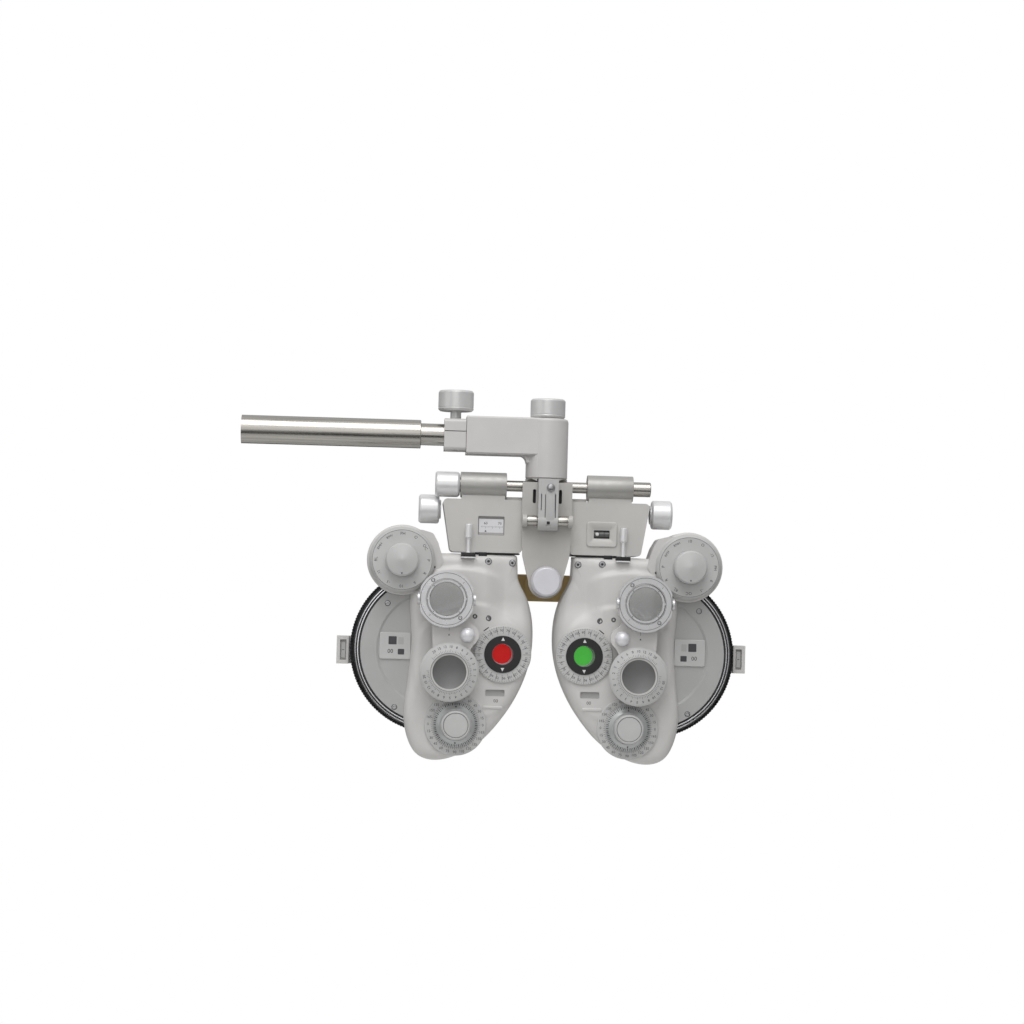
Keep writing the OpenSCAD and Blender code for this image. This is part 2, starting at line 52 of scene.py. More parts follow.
CENTRE_X = 242.0
SIGHT = (32.0, -172.0)
AXLE = (85.6, -169.5)
DIAL = (112.5, -100.2)
PIVOT = (60.3, -157.3)
CROSS = (77.3, -129.9)
PRISM = (73.6, -186.5)
CYLINDER = (67.5, -227.7)
CYLINDER_WINDOW = (37.2, -202.4)
DRUM_WINDOW = (116.2, -167.6)
GAUGE = (157.0, -172.0)

# Faces, as distances in front of the CAD model's plane y = 0
SIGHT_SEAT = 24.9
CYLINDER_SEAT = 23.6
CORNER_FACE = 16.3
CASTING_INSIDE = 16.0
CASTING_BACK = -8.3
CASTING_WALL = 2.6       # least thickness behind the casting's face
COVER_BACK = 11.0        # the back cover's outside, behind that plane

SIDES = {"left": -1, "right": 1}


def mm(*values):
    """Millimetres to metres, as a Vector if there are three of them."""
    scaled = [v * 0.001 for v in values]
    return Vector(scaled) if len(scaled) == 3 else scaled[0]


def place(side, at, y):
    """A point on a battery: side, (outwards, height) and depth, in metres."""
    return mm(CENTRE_X + SIDES[side] * at[0], y, at[1])


# ---------------------------------------------------------------- materials

class Look:
    """A material and short ways to add nodes to it."""

    def __init__(self, name, colour, rough, metal=0.0, **sockets):
        self.material = bpy.data.materials.new(name)
        self.material.use_nodes = True
        self.tree = self.material.node_tree
        self.shader = self.tree.nodes["Principled BSDF"]
        self.set("Base Color", (*colour, 1.0))
        self.set("Roughness", rough)
        self.set("Metallic", metal)
        for socket, value in sockets.items():
            self.set(socket.replace("_", " "), value)
        self.colour = colour
        self.rough = rough

    def set(self, socket, value):
        self.shader.inputs[socket].default_value = value

    def add(self, kind, **sockets):
        node = self.tree.nodes.new("ShaderNode" + kind)
        for name, value in sockets.items():
            node.inputs[name.replace("_", " ")].default_value = value
        return node

    def link(self, source, target):
        self.tree.links.new(source, target)

    def noise(self, scale, detail=3.0, stretch=(1, 1, 1)):
        """Noise in the object's own metres; stretch squeezes it along an axis."""
        coords = self.tree.nodes.new("ShaderNodeTexCoord")
        mapping = self.add("Mapping", Scale=stretch)
        noise = self.add("TexNoise", Scale=scale, Detail=detail, Roughness=0.55)
        self.link(coords.outputs["Object"], mapping.inputs["Vector"])
        self.link(mapping.outputs["Vector"], noise.inputs["Vector"])
        return noise.outputs["Fac"]

    def ramp(self, value, low, high, start=0.3, end=0.7):
        """Maps a value to a colour or a number between low and high."""
        node = self.tree.nodes.new("ShaderNodeMapRange")
        node.inputs["From Min"].default_value = start
        node.inputs["From Max"].default_value = end
        node.inputs["To Min"].default_value = low
        node.inputs["To Max"].default_value = high
        self.link(value, node.inputs["Value"])
        return node.outputs["Result"]

    def tint(self, value, low, high, start=0.3, end=0.7):
        """The base colour times a factor that runs from low to high with the value."""
        factor = self.ramp(value, low, high, start, end)
        scale = self.tree.nodes.new("ShaderNodeVectorMath")
        scale.operation = "SCALE"
        scale.inputs[0].default_value = self.colour
        self.link(factor, scale.inputs["Scale"])
        self.link(scale.outputs["Vector"], self.shader.inputs["Base Color"])

    def vary_rough(self, value, spread):
        self.link(self.ramp(value, self.rough - spread, self.rough + spread),
                  self.shader.inputs["Roughness"])

    def bump(self, value, height, strength=1.0):
        node = self.add("Bump", Strength=strength, Distance=height)
        self.link(value, node.inputs["Height"])
        self.link(node.outputs["Normal"], self.shader.inputs["Normal"])


def enamel(name, colour, rough=0.38):
    """Stove enamel on a casting: faint mottling and orange peel."""
    look = Look(name, colour, rough, Coat_Weight=0.12, Coat_Roughness=0.25)
    look.tint(look.noise(45.0, 4.0), 0.965, 1.02)
    look.vary_rough(look.noise(130.0), 0.05)
    look.bump(look.noise(1500.0, 2.0), 0.00002, 0.35)
    return look.material


def satin(name, colour, rough=0.34, metal=0.75, grain=2600.0):
    """Bead-blasted and anodised metal: fine even grain."""
    look = Look(name, colour, rough, metal)
    look.tint(look.noise(70.0, 3.0), 0.96, 1.03)
    look.vary_rough(look.noise(240.0), 0.06)
    look.bump(look.noise(grain, 2.0), 0.00001, 0.4)
    return look.material


def streaked(name, colour, rough, along, contrast=0.12):
    """Polished bar with fine streaks along one axis."""
    stretch = [1.0, 1.0, 1.0]
    stretch["xyz".index(along)] = 0.012
    look = Look(name, colour, rough, 1.0)
    streaks = look.noise(900.0, 5.0, stretch)
    look.tint(streaks, 1.0 - contrast, 1.0 + contrast / 3)
    look.vary_rough(streaks, 0.06)
    look.bump(streaks, 0.000012, 0.5)
    return look.material


def turned_face(name, colour, rough, metal=1.0):
    """Lathe-turned metal whose fine rings show through roughness and bump."""
    look = Look(name, colour, rough, metal)
    look.tint(look.noise(320.0, 4.0), 0.93, 1.05)
    look.vary_rough(look.noise(700.0, 4.0), 0.08)
    look.bump(look.noise(1800.0, 3.0), 0.00001, 0.5)
    return look.material


def glowing_filter(name, colour):
    """Coloured filter that glows with painted light: its emission stands in for light from behind through
    the battery's lens path.
    """
    # the emission is painted backlight; no lamp lies behind the filter
    look = Look(name, colour, 0.2, Transmission_Weight=0.2, IOR=1.45, Specular_IOR_Level=0.12,
                Emission_Color=(*colour, 1.0), Emission_Strength=0.75)
    look.tint(look.noise(160.0), 0.96, 1.03)
    return look.material


def coated_glass(name, colour):
    """Half-clear coated glass that mostly shows reflections."""
    look = Look(name, colour, 0.36, Transmission_Weight=0.2, IOR=1.5, Coat_Weight=0.25,
                Coat_Roughness=0.4)
    look.tint(look.noise(60.0), 0.97, 1.0)
    return look.material


def glass(name, colour):
    """Uncoated lens glass with faint bloom."""
    look = Look(name, colour, 0.03, Transmission_Weight=1.0, IOR=1.5)
    look.tint(look.noise(60.0), 0.985, 1.0)
    look.vary_rough(look.noise(300.0), 0.02)
    return look.material


LOOKS = {
    "stainless": streaked("stainless_streaks", (0.46, 0.443, 0.412), 0.26, "x", 0.3),
    "grey_paint": enamel("grey_enamel", (0.56, 0.55, 0.53)),
    "battery_paint": enamel("battery_enamel", (0.63, 0.62, 0.605)),
    "cast_grey": enamel("cast_grey_enamel", (0.50, 0.50, 0.495), 0.42),
    "satin_knob": satin("satin_knob", (0.66, 0.66, 0.655), 0.36, 0.35),
    "white_knob": satin("white_knob", (0.80, 0.80, 0.81), 0.34, 0.35),
    "blue_grey_knob": satin("blue_grey_knob", (0.70, 0.69, 0.73), 0.38, 0.35),
    "dark_steel": turned_face("dark_steel", (0.16, 0.16, 0.165), 0.4),
    "brown_pad": satin("brown_pad_moulding", (0.50, 0.36, 0.15), 0.5, 0.0, 900.0),
    "black_rim": satin("black_milled_rim", (0.013, 0.014, 0.016), 0.36, 0.3),
    "satin_disc": turned_face("machined_disc", (0.5, 0.5, 0.52), 0.35),
    "dial_white": satin("dial_white", (0.545, 0.545, 0.54), 0.36, 0.1),
    "chrome_ball": satin("satin_ball", (0.80, 0.80, 0.83), 0.34, 0.25, 900.0),
    "satin_ring": satin("satin_ring", (0.62, 0.62, 0.63), 0.32, 0.6),
    "grey_ring": turned_face("grey_turned_ring", (0.50, 0.51, 0.51), 0.36, 0.55),
    "black_face": satin("black_face", (0.012, 0.012, 0.013), 0.45, 0.0),
    # the two filters glow with painted backlight
    "red_filter": glowing_filter("red_filter_glass", (0.42, 0.008, 0.008)),
    "green_filter": glowing_filter("green_filter_glass", (0.062, 0.37, 0.052)),
    # looks of pieces that exist only here
    "ink": satin("black_ink", (0.015, 0.015, 0.017), 0.5, 0.0),
    "soft_ink": satin("worn_grey_ink", (0.06, 0.06, 0.065), 0.5, 0.0),
    "white_ink": satin("white_ink", (0.75, 0.75, 0.75), 0.45, 0.0),
    "screw": turned_face("screw_steel", (0.42, 0.42, 0.43), 0.3),
    # near black: painted shade in grooves, gaps, slits and sunk windows
    "painted_recess_shade": satin("painted_recess_shade", (0.03, 0.03, 0.032), 0.6, 0.0),
    "drum_plate": enamel("drum_plate_enamel", (0.44, 0.44, 0.435), 0.36),
    "polished_edge": turned_face("polished_edge", (0.8, 0.8, 0.82), 0.18),
    "bracket_paint": enamel("bracket_enamel", (0.62, 0.605, 0.595)),
    "yoke_paint": enamel("yoke_enamel", (0.49, 0.478, 0.455)),
    # dark grey: painted shade on sloped and sunk faces
    "soft_shade": enamel("painted_window_shade", (0.26, 0.255, 0.245)),
    "window_white": satin("window_white", (0.74, 0.74, 0.76), 0.45, 0.0),
    "vial_glass": satin("vial_glass", (0.10, 0.105, 0.10), 0.2, 0.0),
    "sleeve_satin": satin("sleeve_satin", (0.40, 0.395, 0.38), 0.4, 0.4),
    "clear_glass": glass("clear_lens_glass", (0.93, 0.95, 0.95)),
    "smoked_glass": coated_glass("prism_glass", (0.20, 0.205, 0.20)),
}

slot_of = {s["node"]: s["material_slot"] for s in frame["record"]["subparts"]}
body_of = {member: body for body, members in frame["record"]["behaviour"]["bodies"].items()
           for member in members}
for node_name, node in nodes.items():
    node.data.materials.clear()
    node.data.materials.append(LOOKS[slot_of[node_name]])

# ---------------------------------------------------------------- modelling kit

MM = Matrix.Scale(0.001, 4)
# A shape drawn in a plane (x right, y up, z towards the viewer) turned to face the front
FRONT = Matrix(((1, 0, 0, 0), (0, 0, -1, 0), (0, 1, 0, 0), (0, 0, 0, 1)))
FACING = {"front": FRONT, "up": Matrix.Identity(4),
          "right": Matrix.Rotation(math.pi / 2, 4, "Y"),
          "left": Matrix.Rotation(-math.pi / 2, 4, "Y"),
          "back": Matrix.Rotation(math.pi, 4, "Z") @ FRONT}


def at_place(side, at, y, facing="front"):
    """Where a drawn shape goes: millimetres at a battery's place, facing a way."""
    return Matrix.Translation(place(side, at, y)) @ FACING[facing] @ MM


def at_centre(x, y, z, facing="front"):
    """The same, measured from the centre plane."""
    return Matrix.Translation(mm(CENTRE_X + x, y, z)) @ FACING[facing] @ MM


MIDDLE = at_centre(0, 0, 0)


def softened(corners, steps=4):
    """Outline or profile whose corners (x, y, radius) are rounded; radius may be left out."""
    points = []
    count = len(corners)
    for i, corner in enumerate(corners):
        here = Vector(corner[:2])
        radius = corner[2] if len(corner) > 2 else 0
        to_last = Vector(corners[i - 1][:2]) - here
        to_next = Vector(corners[(i + 1) % count][:2]) - here
        if radius <= 0 or not to_last.length or not to_next.length:
            points.append(tuple(here))
            continue
        half = to_last.angle(to_next) / 2
        reach = min(radius / math.tan(half), to_last.length * 0.49, to_next.length * 0.49)
        start = here + to_last.normalized() * reach
        end = here + to_next.normalized() * reach
        for step in range(steps + 1):
            t = step / steps
            points.append(tuple(start * (1 - t) ** 2 + here * 2 * t * (1 - t) + end * t * t))
    return points


def turned(profile, segments=96):
    """A turned solid about z; its profile is [(radius, height)]."""
    shape = bmesh.new()
    rings = []
    for radius, height in profile:
        if radius < 1e-6:
            rings.append([shape.verts.new((0, 0, height))])
            continue
        rings.append([shape.verts.new((radius * math.cos(a), radius * math.sin(a), height))
                      for a in (2 * math.pi * k / segments for k in range(segments))])
    pairs = list(zip(rings, rings[1:]))
    if len(rings[0]) > 1:
        pairs.append((rings[-1], rings[0]))
    for low, high in pairs:
        for k in range(segments):
            m = (k + 1) % segments
            corners = [low[k % len(low)], low[m % len(low)], high[m % len(high)],
                       high[k % len(high)]]
            unique = list(dict.fromkeys(corners))
            if len(unique) > 2:
                shape.faces.new(unique)
    bmesh.ops.recalc_face_normals(shape, faces=shape.faces)
    return shape


def raised(outline, low, high, edge=0.0, steps=3):
    """A plate of an outline between two heights, its top edge rounded."""
    shape = bmesh.new()
    base = [shape.verts.new((x, y, low)) for x, y in outline]
    face = shape.faces.new(base)
    grown = bmesh.ops.extrude_face_region(shape, geom=[face])
    top = [v for v in grown["geom"] if isinstance(v, bmesh.types.BMVert)]
    bmesh.ops.translate(shape, verts=top, vec=(0, 0, high - low))
    if edge:
        rim = [e for e in shape.edges if all(abs(v.co.z - high) < 1e-6 for v in e.verts)]
        bmesh.ops.bevel(shape, geom=rim, offset=edge, segments=steps, profile=0.5,
                        affect="EDGES", clamp_overlap=True)
    bmesh.ops.recalc_face_normals(shape, faces=shape.faces)
    return shape


def rounded_rect(width, height, radius, x=0.0, y=0.0, steps=4):
    return softened([(x - width / 2, y - height / 2, radius), (x + width / 2, y - height / 2, radius),
                     (x + width / 2, y + height / 2, radius),
                     (x - width / 2, y + height / 2, radius)], steps)


def circle(radius, count=64, x=0.0, y=0.0):
    return [(x + radius * math.cos(2 * math.pi * k / count),
             y + radius * math.sin(2 * math.pi * k / count)) for k in range(count)]


glyphs = {}


def lettering(text, size, depth=0.05):
    """Characters as a thin solid, centred on the origin."""
    key = (text, size)
    if key not in glyphs:
        curve = bpy.data.curves.new("text", "FONT")
        curve.body = text
        curve.size = size
        curve.align_x = "CENTER"
        curve.align_y = "CENTER"
        curve.extrude = depth / 2
        curve.resolution_u = 2
        holder = bpy.data.objects.new("text", curve)
        bpy.context.scene.collection.objects.link(holder)
        bpy.context.view_layer.update()
        glyphs[key] = bpy.data.meshes.new_from_object(holder)
        bpy.data.objects.remove(holder)
    shape = bmesh.new()
    shape.from_mesh(glyphs[key])
    return shape


def bridge(shape, rings):
    """Faces between each ring of vertices and the next; a vertex met twice makes a triangle."""
    for low, high in zip(rings, rings[1:]):
        for k in range(len(low)):
            m = (k + 1) % len(low)
            shape.faces.new(list(dict.fromkeys([low[k], low[m], high[m], high[k]])))


def bar(x0, y0, x1, y1, width, depth=0.06):
    """A straight stroke between two points."""
    along = Vector((x1 - x0, y1 - y0)).normalized()
    out = Vector((-along.y, along.x)) * width / 2
    return raised([(x0 + out.x, y0 + out.y), (x0 - out.x, y0 - out.y),
                   (x1 - out.x, y1 - out.y), (x1 + out.x, y1 + out.y)], 0, depth)


def lifted(height):
    """A move towards the viewer of a drawn shape."""
    return Matrix.Translation((0, 0, height))


def mesh_object(name, shape):
    """A new object made from a shape, which it uses up."""
    mesh = bpy.data.meshes.new(name)
    shape.to_mesh(mesh)
    shape.free()
    obj = bpy.data.objects.new(name, mesh)
    bpy.context.scene.collection.objects.link(obj)
    return obj


class Piece:
    """Gathers shapes, each with its look, and makes them one object on a body."""

    def __init__(self, name):
        self.name = name
        self.shape = bmesh.new()
        self.looks = []

    def add(self, shape, look, matrix):
        if look not in self.looks:
            self.looks.append(look)
        bmesh.ops.transform(shape, matrix=matrix, verts=shape.verts)
        for face in shape.faces:
            face.material_index = self.looks.index(look)
            face.smooth = True
        mesh = bpy.data.meshes.new("part")
        shape.to_mesh(mesh)
        shape.free()
        self.shape.from_mesh(mesh)
        bpy.data.meshes.remove(mesh)
        return self

    def on(self, body, *replaced, slot="dial_white", weighted=False, sharp=32):
        for edge in self.shape.edges:
            if len(edge.link_faces) == 2:
                edge.smooth = edge.calc_face_angle(0.0) < math.radians(sharp)
        obj = mesh_object(self.name, self.shape)
        for look in self.looks:
            obj.data.materials.append(LOOKS[look])
        return settle(obj, body, replaced, weighted)


def settle(obj, body, replaced, weighted=True):
    """Rides the object on its body and hides the CAD nodes that it stands in for."""
    if weighted:
        normals = obj.modifiers.new("normals", "WEIGHTED_NORMAL")
        normals.keep_sharp = True
    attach(obj, body)
    if replaced:
        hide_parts(*replaced)
    return obj


def applied(obj):
    """The object's mesh with its modifiers applied."""
    bpy.context.view_layer.update()
    graph = bpy.context.evaluated_depsgraph_get()
    mesh = bpy.data.meshes.new_from_object(obj.evaluated_get(graph))
    obj.modifiers.clear()
    old = obj.data
    obj.data = mesh
    bpy.data.meshes.remove(old)
    return obj


def volume(mesh):
    shape = bmesh.new()
    shape.from_mesh(mesh)
    found = shape.calc_volume()
    shape.free()
    return found


def eased(node_name, width, steps=3, angle=28, look=None):
    """A copy of a CAD node with its hard edges eased, standing in for the node."""
    node = nodes[node_name]
    shape = bmesh.new()
    shape.from_mesh(node.data)
    bmesh.ops.remove_doubles(shape, verts=shape.verts, dist=2e-6)
    bmesh.ops.dissolve_limit(shape, angle_limit=math.radians(0.6), verts=shape.verts,
                             edges=shape.edges)
    edges = [e for e in shape.edges
             if len(e.link_faces) == 2 and e.calc_face_angle(0.0) > math.radians(angle)]
    bmesh.ops.bevel(shape, geom=edges, offset=width * 0.001, segments=steps, profile=0.5,
                    affect="EDGES", clamp_overlap=True)
    for edge in shape.edges:
        edge.smooth = len(edge.link_faces) != 2 or edge.calc_face_angle(0.0) < math.radians(34)
    for face in shape.faces:
        face.smooth = True
    obj = mesh_object(node_name + "_eased", shape)
    change = volume(obj.data) / max(volume(node.data), 1e-12)
    if not 0.9 < change < 1.05:
        print("EASE", node_name, "volume changed to", round(change, 3))
    obj.data.materials.append(LOOKS[look or slot_of[node_name]])
    return settle(obj, body_of[node_name], [node_name])


# ---------------------------------------------------------------- studio

CAMERA_AT = (0.1255, -1.9016, -0.1291)
CAMERA_YAW, CAMERA_PITCH, CAMERA_ROLL = -2.71, 2.09, 1.51
LENS = 84.4


def add_camera():
    data = bpy.data.cameras.new("camera")
    data.lens = LENS
    data.sensor_width = 36.0
    camera = bpy.data.objects.new("camera", data)
    bpy.context.scene.collection.objects.link(camera)
    turn = (Matrix.Rotation(math.radians(CAMERA_YAW), 4, "Z")
            @ Matrix.Rotation(math.radians(90 + CAMERA_PITCH), 4, "X")
            @ Matrix.Rotation(math.radians(CAMERA_ROLL), 4, "Z"))
    camera.matrix_world = Matrix.Translation(CAMERA_AT) @ turn
    bpy.context.scene.camera = camera


def add_area(name, at, size, power, target=(0.24, 0.0, -0.13)):
    data = bpy.data.lights.new(name, "AREA")
    data.size = size
    data.energy = power
    light = bpy.data.objects.new(name, data)
    bpy.context.scene.collection.objects.link(light)
    light.location = at
    aim = Vector(target) - Vector(at)
    light.rotation_euler = aim.to_track_quat("-Z", "Y").to_euler()


def add_world():
    """White studio: white to the camera, brighter from above than from below."""
    world = bpy.data.worlds.new("studio")
    bpy.context.scene.world = world
    world.use_nodes = True
    tree = world.node_tree
    back = tree.nodes["Background"]
    coords = tree.nodes.new("ShaderNodeTexCoord")
    split = tree.nodes.new("ShaderNodeSeparateXYZ")
    height = tree.nodes.new("ShaderNodeMapRange")
    height.inputs["From Min"].default_value = -0.5
    height.inputs["From Max"].default_value = 0.9
    height.inputs["To Min"].default_value = 0.04
    height.inputs["To Max"].default_value = 0.75
    path = tree.nodes.new("ShaderNodeLightPath")
    mix = tree.nodes.new("ShaderNodeMix")
    mix.inputs["B"].default_value = 1.0
    tree.links.new(coords.outputs["Generated"], split.inputs["Vector"])
    tree.links.new(split.outputs["Z"], height.inputs["Value"])
    tree.links.new(path.outputs["Is Camera Ray"], mix.inputs["Factor"])
    tree.links.new(height.outputs["Result"], mix.inputs["A"])
    tree.links.new(mix.outputs["Result"], back.inputs["Strength"])
    back.inputs["Color"].default_value = (1.0, 1.0, 1.0, 1.0)


def add_floor():
    """A pale round studio floor below the hanging head."""
    shape = bmesh.new()
    bmesh.ops.create_circle(shape, cap_ends=True, segments=96, radius=0.85)
    floor = mesh_object("floor", shape)
    floor.location = (0.24, 0.0, -0.62)
    floor.data.materials.append(enamel("floor_paint", (0.8, 0.8, 0.79), 0.6))


add_camera()
add_world()
add_floor()
add_area("key_from_above", (0.15, -0.75, 0.95), 0.9, 8.0)
add_area("front_fill", (0.0, -1.8, 0.3), 1.2, 4.0)
add_area("left_fill", (-0.9, -0.6, 0.1), 0.8, 1.2)
bpy.context.scene.view_settings.view_transform = "Standard"

# ---------------------------------------------------------------- eased castings and knobs

EASES = {"tilt_clamp": 0.9, "tilt_clamp_knob": 0.45, "overhead_bracket": 0.9,
         "rotation_knob": 0.45, "yoke": 0.8, "levelling_knob": 0.6, "near_rod_holder": 0.7,
         "forehead_knob": 0.5, "forehead_rest_pad": 3.2}
OWN_LOOKS = {"tilt_clamp": "bracket_paint", "overhead_bracket": "bracket_paint",
             "yoke": "yoke_paint"}
SIDE_EASES = {"pd_knob": 0.6, "carriage": 1.6, "vergence_lever": 0.3, "turret_arm": 1.5,
              "cross_cylinder_ring": 0.35, "cross_cylinder_cell": 0.25, "back_cover": 0.8}
for node_name, width in EASES.items():
    eased(node_name, width, look=OWN_LOOKS.get(node_name))
for side in SIDES:
    for part, width in SIDE_EASES.items():
        eased(f"{side}_{part}", width)

# ---------------------------------------------------------------- battery casting

# Outline of a casting, [outwards, height], as in the CAD model
LEAF = [(22, -94), (21.2, -112), (12.6, -130.5), (8.6, -150), (9.4, -173), (16, -196),
        (28.6, -219), (47.5, -241), (70, -253.8), (89, -255.6), (101.5, -246.5), (108.2, -223),
        (105.4, -190), (103.6, -162), (105.6, -134), (104, -108)]
LEAF_MIDDLE = Vector((60, -170))
RIM_CLEAR_R = 66.4
DISC_CLEAR_R = 62.7
DIAL_POCKET_R = 26.3


def smooth(value):
    value = min(max(value, 0.0), 1.0)
    return value * value * (3 - 2 * value)


def curve_through(points, steps):
    """A smooth curve through the points, ending at the last."""
    out = []
    for i in range(len(points) - 1):
        a, b = Vector(points[max(i - 1, 0)]), Vector(points[i])
        c, d = Vector(points[i + 1]), Vector(points[min(i + 2, len(points) - 1)])
        for step in range(steps):
            t = step / steps
            out.append(0.5 * (2 * b + (c - a) * t + (2 * a - 5 * b + 4 * c - d) * t * t
                              + (3 * b - a - 3 * c + d) * t ** 3))
    return out + [Vector(points[-1])]


def spaced(points, step):
    """The closed outline again, with points at even distances along it."""
    ring = points + [points[0]]
    lengths = [(q - p).length for p, q in zip(ring, ring[1:])]
    count = round(sum(lengths) / step)
    gap = sum(lengths) / count
    out, index, start = [], 0, 0.0
    for k in range(count):
        while start + lengths[index] < k * gap - 1e-9:
            start += lengths[index]
            index += 1
        out.append(ring[index].lerp(ring[index + 1], (k * gap - start) / lengths[index]))
    return out


def face_height(u, v):
    """How far the casting's face stands forward: lug, body and the plateau round the sight."""
    body = max(smooth((69.5 - math.hypot(u - 66, v + 172)) / 4.5), smooth((-140 - v) / 25))
    plateau = smooth((47.5 - math.hypot(u - 57, v + 178)) / 4.0)
    face = 18.9 + 2.5 * body + 1.5 * plateau
    # the upper inner corner falls away to pass behind the yoke
    corner = smooth((47 - u) / 16.5) * smooth((v + 152) / 23)
    return face + (CORNER_FACE - face) * corner


def casting_shape():
    """The hollow casting of the right battery: rounded edge, stepped face, open back."""
    outline = curve_through(LEAF, 8)[8:-4]
    top = [Vector(p) for p in softened(
        [tuple(outline[-1]), (103.2, -100, 6), (98, -94, 7), (22, -94, 3), tuple(outline[0])], 5)]
    outline = spaced(outline + top[1:-1], 1.6)
    count = len(outline)
    normals = []
    for k, point in enumerate(outline):
        along = (outline[(k + 1) % count] - outline[k - 1]).normalized()
        out = Vector((along.y, -along.x))
        normals.append(out if out.dot(point - LEAF_MIDDLE) > 0 else -out)
    reach = [(p - LEAF_MIDDLE).dot(n) for p, n in zip(outline, normals)]

    def inward(distance):
        return [p.lerp(LEAF_MIDDLE, distance / h) for p, h in zip(outline, reach)]

    shape = bmesh.new()
    rings = []

    def ring(points, heights):
        rings.append([shape.verts.new((p.x, p.y, h)) for p, h in zip(points, heights)])

    edge_steps = (0, 0.15, 0.5, 1.0, 1.7, 2.5, 3.5, 4.7, 6.0, 7.5, 9.0)
    edge_width, edge_height = 8.2, 12.5
    ring(inward(0), [CASTING_BACK] * count)
    ring(inward(0), [edge_height - 4] * count)
    for distance in edge_steps:
        points = inward(distance)
        share = math.sqrt(1 - (1 - min(distance / edge_width, 1)) ** 2)
        ring(points, [edge_height + (face_height(*p) - edge_height) * share for p in points])
    inner = inward(edge_steps[-1])
    steps = 44
    for step in range(1, steps):
        points = [p.lerp(LEAF_MIDDLE, step / steps) for p in inner]
        ring(points, [face_height(*p) for p in points])
    cap = [shape.verts.new((*LEAF_MIDDLE, face_height(*LEAF_MIDDLE)))] * count
    bridge(shape, rings + [cap])
    # the cavity starts at the outer wall's back ring
    del rings[1:]
    for distance, height in ((2.2, CASTING_BACK), (2.2, 13.2), (3.2, 15.0), (5, CASTING_INSIDE)):
        points = inward(distance)
        ring(points, [min(height, face_height(*p) - CASTING_WALL) for p in points])
    for share in (0.15, 0.3, 0.6):
        points = [p.lerp(LEAF_MIDDLE, share) for p in inward(5)]
        ring(points, [min(CASTING_INSIDE, face_height(*p) - CASTING_WALL) for p in points])
    cap = [shape.verts.new((*LEAF_MIDDLE, CASTING_INSIDE))] * count
    bridge(shape, rings + [cap])
    bmesh.ops.recalc_face_normals(shape, faces=shape.faces)
    return shape


def carved(shape, *cutters):
    """The shape with each cutter shape taken away."""
    obj = mesh_object("carved", shape)
    holders = [mesh_object("cutter", cutter) for cutter in cutters]
    for holder in holders:
        change = obj.modifiers.new("cut", "BOOLEAN")
        change.operation = "DIFFERENCE"
        change.solver = "EXACT"
        change.object = holder
    applied(obj)
    for holder in holders:
        bpy.data.objects.remove(holder)
    left = bmesh.new()
    left.from_mesh(obj.data)
    bpy.data.objects.remove(obj)
    return left


def joined(*shapes):
    """Separate shapes as one."""
    whole = bmesh.new()
    for shape in shapes:
        mesh = bpy.data.meshes.new("part")
        shape.to_mesh(mesh)
        shape.free()
        whole.from_mesh(mesh)
        bpy.data.meshes.remove(mesh)
    return whole


def moved(shape, x, y, z=0.0):
    bmesh.ops.translate(shape, verts=shape.verts, vec=(x, y, z))
    return shape


def drum_room():
    """The space that the lens discs and the milled rim turn in."""
    return moved(turned([(0, -9.5), (RIM_CLEAR_R, -9.5), (RIM_CLEAR_R, 7.8),
                         (DISC_CLEAR_R, 7.8), (DISC_CLEAR_R, 10.6), (0, 10.6)], 128), *AXLE)


def battery_casting():
    """Casting, bored for its dials, with the fairing behind the auxiliary dial."""
    bores = joined(
        moved(turned([(0, 5), (8.6, 5), (8.6, 30), (0, 30)], 64), *SIGHT),
        moved(turned([(0, 5), (3.05, 5), (3.05, 30), (0, 30)], 32), *PIVOT),
        moved(turned([(0, 5), (4.05, 5), (4.05, 30), (0, 30)], 32), *CYLINDER),
        moved(turned([(0, 19.8), (DIAL_POCKET_R, 19.8), (DIAL_POCKET_R, 30), (0, 30)], 128), *DIAL),
        moved(raised(rounded_rect(15.0, 5.2, 1.0), 20.6, 30), *CYLINDER_WINDOW))
    casting = carved(casting_shape(), drum_room(), bores)
    web = raised(softened([(80, -100, 3), (84.6, -86, 4), (88.6, -78.6, 4), (97, -76.3, 5),
                           (112, -76, 0), (118, -110, 0), (100, -129, 4), (86, -112, 3)]),
                 CASTING_BACK, 19.6, 2.2, 4)
    gear_room = moved(turned([(0, -9), (24.9, -9), (24.9, 17.3), (0, 17.3)]), *DIAL)
    web = carved(web, gear_room, drum_room())
    ring = turned(softened([(5.05, 17.3), (5.05, 19.8), (27.6, 19.8, 2.4), (27.6, CASTING_BACK),
                            (24.9, CASTING_BACK), (24.9, 17.3)]), 128)
    ring = carved(moved(ring, *DIAL), drum_room())
    tube = moved(turned([(8.6, 10.6), (11, 10.6), (11, 20), (8.6, 20)], 64), *SIGHT)
    axle_boss = moved(turned([(4, 10.4), (7.5, 10.4), (7.5, 17), (4, 17)], 48), *AXLE)
    return joined(casting, web, ring, tube, axle_boss)


def mirrored(shape, side):
    if SIDES[side] < 0:
        bmesh.ops.scale(shape, verts=shape.verts, vec=(-1, 1, 1))
        bmesh.ops.reverse_faces(shape, faces=shape.faces)
    return shape


def build_castings():
    template = mesh_object("casting_template", battery_casting())
    for side in SIDES:
        shape = bmesh.new()
        shape.from_mesh(template.data)
        piece = Piece(f"{side}_battery_casting")
        piece.add(mirrored(shape, side), "battery_paint", MIDDLE)
        # scale seats round the sight and the cylinder's axis
        for at, bore, radius, top in ((SIGHT, 8.6, 22.4, SIGHT_SEAT),
                                      (CYLINDER, 4.05, 24.2, CYLINDER_SEAT)):
            piece.add(turned(softened([(bore, 19), (radius, 19), (radius, top, 0.9), (bore, top)]),
                             128), "dial_white", at_place(side, at, 0))
        piece.on(f"{side}_battery", f"{side}_housing", slot="battery_paint", weighted=True)
    bpy.data.objects.remove(template)


